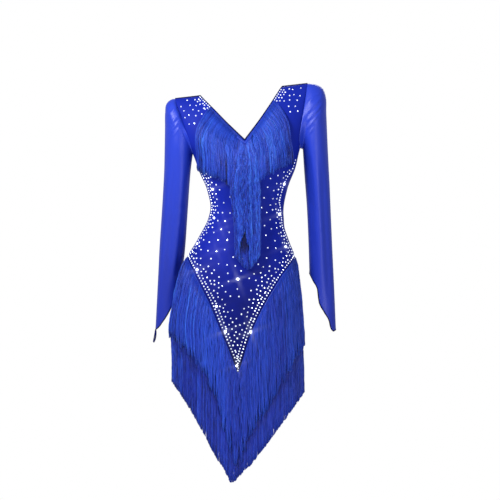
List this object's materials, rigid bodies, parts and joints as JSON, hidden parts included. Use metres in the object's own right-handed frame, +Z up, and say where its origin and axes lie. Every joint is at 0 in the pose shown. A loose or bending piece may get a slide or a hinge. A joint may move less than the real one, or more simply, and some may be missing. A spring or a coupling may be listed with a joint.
{
  "type": "fringed dance dress",
  "caption": "Long-sleeved stretch dance dress with a plunging V neck, open back, pointed hip yoke, crystal borders and layered hanging fringe on bust and skirt, shaped as worn",
  "frame": {"origin": "midway between the two shoulder seams, where the wearer carries the dress", "axes": "+X towards the wearer's left sleeve, +Y towards the back, +Z up; the front faces -Y"},
  "size_m": [0.494, 0.2616, 1.0813],
  "materials": {
    "jersey": "soft sheen stretch jersey",
    "mesh": "fine stretch mesh",
    "elastic": "covered elastic cord",
    "fringe": "glossy rayon chainette",
    "crystal": "foiled cut glass"
  },
  "bodies": {
    "root": {"front_panel": "jersey", "back_panel": "jersey", "skirt_front": "jersey", "skirt_back": "jersey", "sleeve_left": "mesh", "sleeve_right": "mesh", "finger_loop_left": "elastic", "finger_loop_right": "elastic", "bust_fringe_left": "fringe", "bust_fringe_right": "fringe", "centre_fringe": "fringe", "upper_fringe_front": "fringe", "upper_fringe_back": "fringe", "lower_fringe_front": "fringe", "lower_fringe_back": "fringe"}
  },
  "joints": []
}
